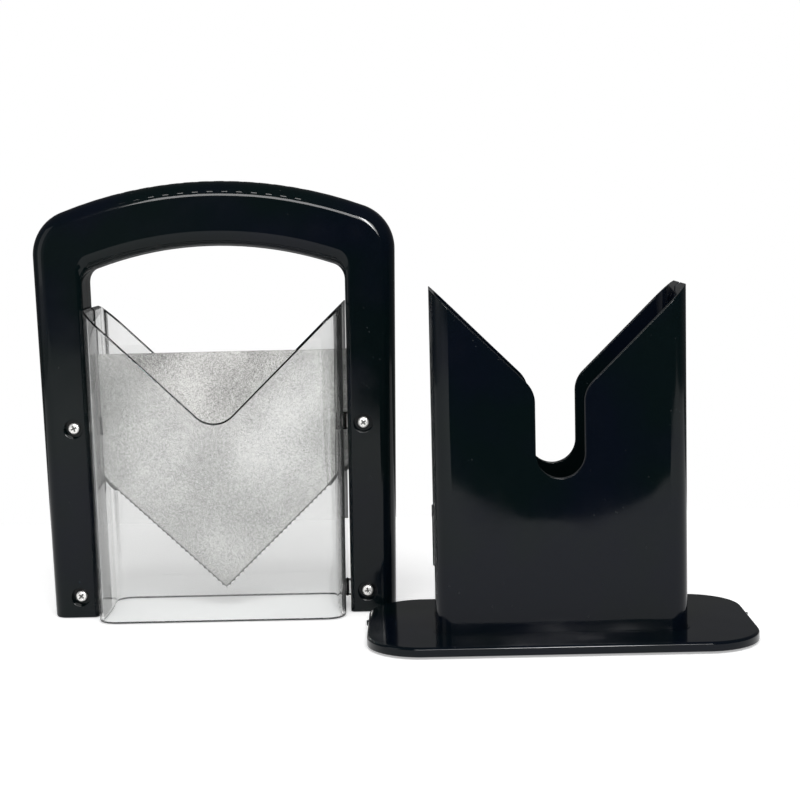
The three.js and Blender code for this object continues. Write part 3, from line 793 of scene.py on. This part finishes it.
def shellMesh(isFront):
    h = handleSize
    front = -h["depth"] / 2
    steps = [("DIFFERENCE", frameForm(h["wall"])), ("DIFFERENCE", footTools())]
    if isFront:
        boss = bar(h["boss"], front + h["bossRoot"], h["earSlot"][1])
        steps.append(("UNION", gather([rod(x, z, boss) for x, z in screwPlaces()])))
    steps.append(("DIFFERENCE", legSlotTools()))
    if isFront:
        floor, lip, hole = front + h["boreDepth"], h["boreLip"], screwSize["hole"]
        bore = [(0, front - past), (h["bore"] + lip + past, front - past), (h["bore"] + lip, front),
                (h["bore"] + lip * cornerShare, front + lip * cornerShare), (h["bore"], front + lip),
                (h["bore"], floor), (hole, floor), (hole, 0), (0, 0)]
        steps.append(("DIFFERENCE", gather([rod(x, z, bore) for x, z in screwPlaces()])))
    steps.append(("DIFFERENCE", grooveTools()))
    bm = combine(frameForm(0), steps)
    if not isFront:
        bmesh.ops.mirror(bm, geom=whole(bm), matrix=Matrix.Identity(4), merge_dist=-1, axis="Y")
        old = [f for f in bm.faces if f.calc_center_median().y < 0]
        bmesh.ops.delete(bm, geom=old, context="FACES")
        bmesh.ops.recalc_face_normals(bm, faces=bm.faces)
    return bm


for name, node, isFront in (("handleFrontShell", "handle_front_shell", True),
                            ("handleRearShell", "handle_rear_shell", False)):
    place(shellMesh(isFront), name, handleMiddle, "handle", node, black, sharp=32)


# Guard: the clear sleeve with a V in its two broad faces

guardSize = {
    "width": 129, "depth": 60.6, "corner": 10, "wall": 2, "top": 163, "apex": 98.5, "apexRound": 13,
    "slot": (65.1, 0.8), "earThick": (-3.2, -0.8), "earTip": 79.7, "earTall": 9, "edge": 0.9, "draft": 2,
    "holeReach": 6,
}


def sleeve(inset, z0, z1):
    # Its ends lean outwards as they rise, as the legs beside them do
    g = guardSize
    bm = column(*roundedOblong(g["width"], g["depth"], g["corner"], inset), z0, z1)
    for v in bm.verts:
        v.co.x *= 1 + 2 * g["draft"] / g["width"] * v.co.z / g["top"]
    return bm


def guardMesh():
    g = guardSize
    half = g["width"] / 2
    far, above = half + g["draft"] + past, g["top"] + past
    lip = g["apex"] + (g["top"] - g["apex"]) * far / (half + g["draft"])
    notch = softCorners([(0, g["apex"], g["apexRound"]), (far, lip, 0), (-far, lip, 0)])
    slotFrom, slotHalf = g["slot"]
    tall = g["earTall"] / 2
    ears = [sideBlock(side, half - g["wall"] / 2, g["earTip"], *g["earThick"], z - tall, z + tall)
            for side in bothSides for z in handleSize["screwHeights"]]
    hole = bar(screwSize["hole"], -g["holeReach"], g["holeReach"])
    holes = [rod(x, z, hole) for x, z in screwPlaces()]
    return combine(sleeve(0, 0, g["top"]), [
        ("DIFFERENCE", sleeve(g["wall"], -past, above)),
        ("DIFFERENCE", prism(*notch, -g["depth"], g["depth"])),
        ("DIFFERENCE", block(-far, far, -slotHalf, slotHalf, slotFrom, above)),
        ("UNION", gather(ears)), ("DIFFERENCE", gather(holes))])


guard = place(guardMesh(), "clearGuard", handleMiddle, "handle", "guard", clear,
              edge=guardSize["edge"], sharp=50, segments=2)
guard.data.materials.append(guardRimShade)  # its rounded rims are looked at edge on, so they show dark; that dark is painted shade in the rims' colour
guard.modifiers["edges"].material = 1


# Blade: straight back, square ends, two scalloped edges ground from the front

bladeSize = {
    "thick": 1, "top": 138, "half": 80, "tabBottom": 65.4, "edgeHalf": 57, "tip": 10.8, "teeth": 24,
    "toothDepth": 0.9, "toothStep": 16, "corner": 3, "grindWidth": 1.5, "grindDepth": 0.72, "holeReach": 3,
    "flat": 0.999,
}


def bladeMesh():
    # The right half is drawn from the tip, ground, and mirrored
    b = bladeSize
    tip, heel = Vector((0, b["tip"])), Vector((b["edgeHalf"], b["tabBottom"]))
    edge = heel - tip
    inward = Vector((-edge.y, edge.x)).normalized()
    pitch = edge.length / b["teeth"]
    # a scallop is the arc through two points and a depth between them
    radius = (pitch ** 2 / 4 + b["toothDepth"] ** 2) / (2 * b["toothDepth"])
    turn = 2 * math.degrees(math.asin(pitch / 2 / radius))
    moves = []
    for k in range(b["teeth"]):
        centre = tip + edge * (k + 0.5) / b["teeth"] - inward * (radius - b["toothDepth"])
        moves.append((centre.x, centre.y, -turn))
    half, top, corner = b["half"], b["top"], b["corner"]
    moves += [(half, b["tabBottom"]), (half, top - corner), (half - corner, top), (0, top)]
    bm = prism(tip, moves, -b["thick"] / 2, b["thick"] / 2, b["toothStep"])
    lean = Vector((inward.x * b["grindDepth"], -b["grindWidth"], inward.y * b["grindDepth"])).normalized()
    start = tip + inward * b["grindWidth"]
    trim(bm, (start.x, -b["thick"] / 2, start.y), (-lean.x, lean.y, -lean.z), clear_outer=True)
    inside = [f for f in bm.faces if all(abs(v.co.x) < samePoint for v in f.verts)]
    bmesh.ops.delete(bm, geom=inside, context="FACES")
    bmesh.ops.mirror(bm, geom=whole(bm), matrix=Matrix.Identity(4), merge_dist=samePoint, axis="X")
    bmesh.ops.recalc_face_normals(bm, faces=bm.faces)
    hole = bar(screwSize["hole"], -b["holeReach"], b["holeReach"])
    upper = handleSize["screwHeights"][0]
    holes = [rod(side * handleSize["screwX"], upper, hole) for side in bothSides]
    return combine(bm, [("DIFFERENCE", gather(holes))])


blade = place(bladeMesh(), "vBlade", handleMiddle, "handle", "blade", steel, sharp=12)
blade.data.materials.append(ground)
for flank in blade.data.polygons:
    if flank.center.z < bladeSize["tabBottom"] * mm and abs(flank.normal.y) < bladeSize["flat"]:
        flank.material_index = 1


# The four screws of the legs, each stopped at its own turn

legScrewTurns = {("Upper", "Left"): 22, ("Upper", "Right"): 38,
                 ("Lower", "Left"): 50, ("Lower", "Right"): 12}


def placeLegScrews():
    h = handleSize
    headTop = -h["depth"] / 2 + h["boreDepth"] - fitGap - screwSize["headHeight"]
    for (level, end), spin in legScrewTurns.items():
        x = h["screwX"] if end == "Right" else -h["screwX"]
        z = h["screwHeights"][0 if level == "Upper" else 1]
        placeScrew(f"legScrew{level}{end}", f"leg_screw_{level}_{end}".lower(), spin, 90, (x, headTop, z),
                   "handle", handleMiddle, screwSize["legLength"])


placeLegScrews()


# Base plate: a thin tray turned upside down

plateSize = {
    "width": 190, "depth": 101, "top": 5.5, "lift": 0.9, "corner": 28, "cornerStep": 3,
    "edge": 1.4, "edgeSteps": 6, "lowEdge": 0.35, "lowEdgeSteps": 2, "skin": 2.6, "skirt": 2.4,
    "rib": 1.6, "ribDrop": 1.9, "longRib": 29.822, "crossRibs": (-75.93, -38.89, 0, 38.89, 75.93),
    "boreTop": 3.4, "seat": 1, "lip": (0.9, 0.35), "lipRoot": 0.4, "nub": 1.6, "nubProud": 1, "nubBack": 10,
    "nubTall": 2.4, "footAt": (75, 33.5), "footRing": 1.5, "holderScrewAt": (54.6, 20.4), "above": 9,
}
footSize = {"radius": 6, "top": 2.6, "edge": 0.5}
holderSize = {
    "width": 122.4, "depth": 54, "top": 172, "foot": 4.8, "wall": 2.5, "corner": 9, "cornerStep": 4,
    "slotHalf": 11.8, "slotFloor": 80.8, "knee": 123, "kneeRound": 14, "bladeSlot": (66, 1.6),
    "padProud": 0.7, "padWidth": 20, "pad": (36, 63), "boss": 5, "bossFoot": 5.8, "bossTop": 23.5,
    "wellTop": 16.4, "edge": 0.45,
}
fourCorners = {("Front", "Left"): (-1, -1), ("Front", "Right"): (1, -1),
               ("Rear", "Left"): (-1, 1), ("Rear", "Right"): (1, 1)}


def holderColumn(inset, z0, z1, step=arcStep):
    b = holderSize
    return column(*roundedOblong(b["width"], b["depth"], b["corner"], inset), z0, z1, step)


def plateMesh():
    p, screwHole = plateSize, screwSize["hole"]
    outline = (p["width"], p["depth"], p["corner"])
    bm = column(*roundedOblong(*outline), p["lift"], p["top"], p["cornerStep"])
    for level, radius, steps in ((p["top"], p["edge"], p["edgeSteps"]),
                                 (p["lift"], p["lowEdge"], p["lowEdgeSteps"])):
        rim = [e for e in bm.edges if all(abs(v.co.z - level) < nearBy for v in e.verts)]
        bmesh.ops.bevel(bm, geom=rim, offset=radius, offset_type="OFFSET", segments=steps, profile=0.5,
                        affect="EDGES", clamp_overlap=False, material=-1)
    ceiling = p["top"] - p["skin"]
    low, root = ceiling - p["ribDrop"], ceiling + p["skin"] / 2
    longHalf, deepHalf = p["width"] / 2 - p["skirt"], p["depth"] / 2 - p["skirt"]
    rib = p["rib"] / 2
    ribs = [block(-longHalf, longHalf, s * p["longRib"] - rib, s * p["longRib"] + rib, low, root)
            for s in bothSides]
    ribs += [block(x - rib, x + rib, -deepHalf, deepHalf, low, root) for x in p["crossRibs"]]
    ring, well = footSize["radius"] + fitGap, screwSize["head"] + fitGap
    bore = [(0, -past), (well, -past), (well, p["boreTop"]), (screwHole, p["boreTop"]),
            (screwHole, p["above"]), (0, p["above"])]
    cuts = []
    for sx, sy in fourCorners.values():
        foot = (sx * p["footAt"][0], sy * p["footAt"][1])
        screw = (sx * p["holderScrewAt"][0], sy * p["holderScrewAt"][1])
        ribs.append(post(*foot, bar(ring + p["footRing"], low, root)))
        ribs.append(post(*screw, bar(well + p["footRing"], low, root)))
        cuts.append(post(*foot, bar(ring, -past, ceiling)))
        cuts.append(post(*screw, bore))
    wide, high = p["lip"]
    lip = holderColumn(-fitGap - wide, p["top"] - p["lipRoot"], p["top"] + high)
    seat = combine(holderColumn(-fitGap, p["top"] - p["seat"], p["above"]),
                   [("DIFFERENCE", holderColumn(holderSize["wall"] + fitGap, 0, p["above"] + past))])
    middle = (p["lift"] + p["top"]) / 2
    nub = bar(p["nub"], middle - p["nubTall"] / 2, middle + p["nubTall"] / 2)
    nubs = [post(s * (p["width"] / 2 + p["nubProud"] - p["nub"]), p["nubBack"], nub) for s in bothSides]
    hollow = column(*roundedOblong(*outline, p["skirt"]), -past, ceiling, p["cornerStep"])
    return combine(bm, [("DIFFERENCE", hollow), ("UNION", gather(ribs)), ("DIFFERENCE", gather(cuts)),
                        ("UNION", lip), ("DIFFERENCE", seat), ("UNION", gather(nubs))])


place(plateMesh(), "basePlate", baseMiddle, "base", "base_plate", black, sharp=32)


# Holder: the tall open box, its mouth cut through front and back

def holderMesh():
    b = holderSize
    half, above = b["width"] / 2, b["top"] + past
    far = half + past
    lip = b["knee"] + (b["top"] - b["knee"]) * (far - b["slotHalf"]) / (half - b["slotHalf"])
    s, floor, knee, kneeRound = b["slotHalf"], b["slotFloor"], b["knee"], b["kneeRound"]
    full = s - nearBy  # the slot's two corners meet in a full round
    mouth = softCorners([(-s, floor, full), (s, floor, full), (s, knee, kneeRound), (far, lip, 0),
                         (-far, lip, 0), (-s, knee, kneeRound)])
    low, thick = b["bladeSlot"]
    inner, outer, wide = half - b["wall"] / 2, half + b["padProud"], b["padWidth"] / 2
    extras = [sideBlock(side, inner, outer, -wide, wide, *b["pad"]) for side in bothSides]
    wells = []
    for sx, sy in fourCorners.values():
        x, y = sx * plateSize["holderScrewAt"][0], sy * plateSize["holderScrewAt"][1]
        extras.append(post(x, y, bar(b["boss"], b["bossFoot"], b["bossTop"])))
        wells.append(post(x, y, bar(screwSize["hole"], 0, b["wellTop"])))
    return combine(holderColumn(0, b["foot"], b["top"], b["cornerStep"]), [
        ("DIFFERENCE", holderColumn(b["wall"], 0, above, b["cornerStep"])),
        ("DIFFERENCE", prism(*mouth, -b["depth"], b["depth"], b["cornerStep"])),
        ("DIFFERENCE", block(-far, far, -thick, thick, low, above)),
        ("UNION", gather(extras)), ("DIFFERENCE", gather(wells))])


place(holderMesh(), "bagelHolder", baseMiddle, "base", "holder", black,
      edge=holderSize["edge"], sharp=40)


# Cradle: dished ribs on a flat floor, open between the two middle ribs

cradleSize = {
    "half": 47, "deep": 24.2, "foot": 5.8, "floor": 2.6, "rib": 2.4, "ribsAt": (3, 12.4, 21.8), "dip": 35,
    "radius": 60, "web": 26, "edge": 0.25,
}


def cradleMesh():
    c = cradleSize
    half, radius, foot, deep = c["half"], c["radius"], c["foot"], c["deep"]
    lift = c["dip"] + radius
    end = lift - math.sqrt(radius ** 2 - half ** 2)
    swing = 2 * math.degrees(math.asin(half / radius))
    dish = [(half, foot), (half, end), (0, lift, -swing), (-half, foot)]
    parts = []
    for side in bothSides:
        for near in c["ribsAt"]:
            y0, y1 = sorted((side * near, side * (near + c["rib"])))
            parts.append(prism((-half, foot), dish, y0, y1))
        parts.append(sideBlock(side, half, half - c["rib"], -deep, deep, foot, foot + c["web"]))
    return combine(block(-half, half, -deep, deep, foot, foot + c["floor"]), [("UNION", gather(parts))])


place(cradleMesh(), "bagelCradle", baseMiddle, "base", "bagel_cradle", satin,
      edge=cradleSize["edge"], sharp=40)


# Screws and feet under the plate

def placeUnderside():
    p, f = plateSize, footSize
    r, e, cut = f["radius"], f["edge"], f["edge"] * cornerShare
    footProfile = [(0, 0), (r - e, 0), (r - cut, cut), (r, e), (r, f["top"]), (0, f["top"])]
    headTop = p["boreTop"] - fitGap - screwSize["headHeight"]
    for (row, end), (sx, sy) in fourCorners.items():
        node = f"{row}_{end}".lower()
        spin = 20 + 31 * sx + 17 * sy  # each screw stopped at its own turn
        at = (sx * p["holderScrewAt"][0], sy * p["holderScrewAt"][1], headTop)
        placeScrew(f"holderScrew{row}{end}", f"holder_screw_{node}", spin, 180, at, "base", baseMiddle,
                   screwSize["holderLength"])
        pad = post(sx * p["footAt"][0], sy * p["footAt"][1], footProfile)
        place(pad, f"rubberFoot{row}{end}", baseMiddle, "base", f"foot_{node}", rubber,
              sharp=50)


placeUnderside()
print("pieces ready")


# Floor, light and camera, in metres. The strengths from frontLeft on are of the light in reflections.

studio = {
    "floorBack": 0.3, "floorHalf": 1.2, "floorDrop": 0.0004, "floorGlow": 0.4, "floorRough": 0.9,
    "floorTones": ((0.9, 0.9, 0.9), (0.93, 0.93, 0.93)), "floorCloud": (3, 2, 0.5),
    "floorFront": ((-1.2, -1.9), (-0.14, -1.9), (-0.06, -1.0), (0.0, -0.72), (0.03, -0.55), (0.06, -0.44),
                   (0.09, -0.375), (0.12, -0.36), (0.15, -0.39), (0.18, -0.45), (0.22, -0.56),
                   (0.3, -0.75), (1.2, -0.9)),
    "ambient": 0.5, "frontLeft": 0.2, "frontRight": 0.03, "frontSpan": (-0.2, -0.04),
    "left": 0.6, "leftSpan": (-0.7, -0.35), "behind": 0.13, "behindSpan": (-0.25, 0.1),
    "above": 0.115, "aboveSpan": (0.1, 0.45),
}
white = (1, 1, 1)


def floor():
    # Its front edge is out of the picture. It curves, as the edge of the light part does in the gloss of
    # the holder.
    s = studio
    bm = bmesh.new()
    outline = ((s["floorHalf"], s["floorBack"]), (-s["floorHalf"], s["floorBack"])) + s["floorFront"]
    last = chain(bm, [(x, y, -s["floorDrop"]) for x, y in outline])
    bm.verts.ensure_lookup_table()
    bm.edges.new((last, bm.verts[0]))
    bmesh.ops.contextual_create(bm, geom=bm.edges[:])
    bmesh.ops.recalc_face_normals(bm, faces=bm.faces)
    if sum(f.normal.z for f in bm.faces) < 0:
        bmesh.ops.reverse_faces(bm, faces=bm.faces)
    obj = loose(bm, "paleFloor")
    material, tree, surface = shader("paleFloor")
    cloud = noise(tree, objectSpot(tree), *s["floorCloud"])
    put(tree, tint(tree, cloud, *s["floorTones"]), surface, "Base Color")
    put(tree, s["floorRough"], surface, "Roughness")
    put(tree, 0, surface, "Specular IOR Level")
    put(tree, white, surface, "Emission Color")
    path = tree.nodes.new("ShaderNodeLightPath").outputs
    seen = maths(tree, "MAXIMUM", path["Is Camera Ray"], path["Is Glossy Ray"])
    seen = maths(tree, "MAXIMUM", seen, path["Is Transmission Ray"])
    put(tree, ramp(tree, seen, 0, 1, 0, s["floorGlow"]), surface, "Emission Strength")
    obj.data.materials.append(material)


def surroundings():
    # White to the eye and through clear plastic; in reflections a dim room, lit on the left in front
    s = studio
    world = bpy.data.worlds.new("studio")
    bpy.context.scene.world = world
    world.use_nodes = True
    tree = world.node_tree
    back = tree.nodes["Background"]
    way = axes(tree, tree.nodes.new("ShaderNodeTexCoord").outputs["Generated"])
    front = ramp(tree, way["X"], *s["frontSpan"], s["frontLeft"], s["frontRight"])
    front = blend(tree, ramp(tree, way["X"], *s["leftSpan"], 1, 0), front, s["left"])
    sides = blend(tree, ramp(tree, way["Y"], *s["behindSpan"], 0, 1), front, s["behind"])
    mirrored = blend(tree, ramp(tree, way["Z"], *s["aboveSpan"], 0, 1), sides, s["above"])
    path = tree.nodes.new("ShaderNodeLightPath").outputs
    plain = blend(tree, path["Is Glossy Ray"], s["ambient"], mirrored)
    seen = maths(tree, "MAXIMUM", path["Is Camera Ray"], path["Is Transmission Ray"])
    put(tree, white, back, "Color")
    put(tree, blend(tree, seen, plain, 1), back, "Strength")


# Each lamp's place, what it is turned to, its width and height, and its watts
lamps = {
    "frontStrip": ((0.045, -1.25, 0.53), (0.045, 0, 0.2), (0.87, 0.31), 15),
    "shoulderSpot": ((0.2, -1.24, 0.53), (0, 0, 0.2), (0.16, 0.31), 9),
    "overFront": ((0.1, -1.1, 1.2), (0, 0, 0.12), (1.3, 0.5), 17),
    "leftWindow": ((-1.5, -0.7, 0.6), (-0.05, 0, 0.12), (0.8, 1.1), 3),
}


def lamp(name, at, target, size, watts):
    data = bpy.data.lights.new(name, "AREA")
    data.shape = "RECTANGLE"
    data.size, data.size_y = size
    data.energy = watts
    obj = bpy.data.objects.new(name, data)
    obj.location = at
    obj.rotation_euler = (Vector(target) - Vector(at)).to_track_quat("-Z", "Y").to_euler()
    bpy.context.scene.collection.objects.link(obj)
    # the large lamp makes no highlight, and the others make nothing else
    if name == "overFront":
        obj.visible_glossy = False
    else:
        obj.visible_diffuse = False


# The focal length is in pixels of the picture, the sensor's width in millimetres
cameraFit = {
    "at": (0.019101, -0.84551, 0.21082), "down": 6.48, "yaw": 0.72, "roll": -1.38, "focal": 1690.86,
    "picture": 800, "sensor": 36, "clipStart": 0.01,
}


def camera():
    c = cameraFit
    data = bpy.data.cameras.new("camera")
    data.sensor_width = c["sensor"]
    data.lens = c["focal"] / c["picture"] * c["sensor"]
    data.clip_start = c["clipStart"]
    obj = bpy.data.objects.new("camera", data)
    yaw = Matrix.Rotation(math.radians(c["yaw"]), 4, "Z")
    tilt = Matrix.Rotation(math.radians(90 - c["down"]), 4, "X")
    roll = Matrix.Rotation(math.radians(c["roll"]), 4, "Z")
    obj.matrix_world = Matrix.Translation(c["at"]) @ (yaw @ tilt @ roll)
    bpy.context.scene.collection.objects.link(obj)
    bpy.context.scene.camera = obj


floor()
surroundings()
for name, settings in lamps.items():
    lamp(name, *settings)
camera()
bpy.context.scene.view_settings.view_transform = "Standard"
print("studio ready")
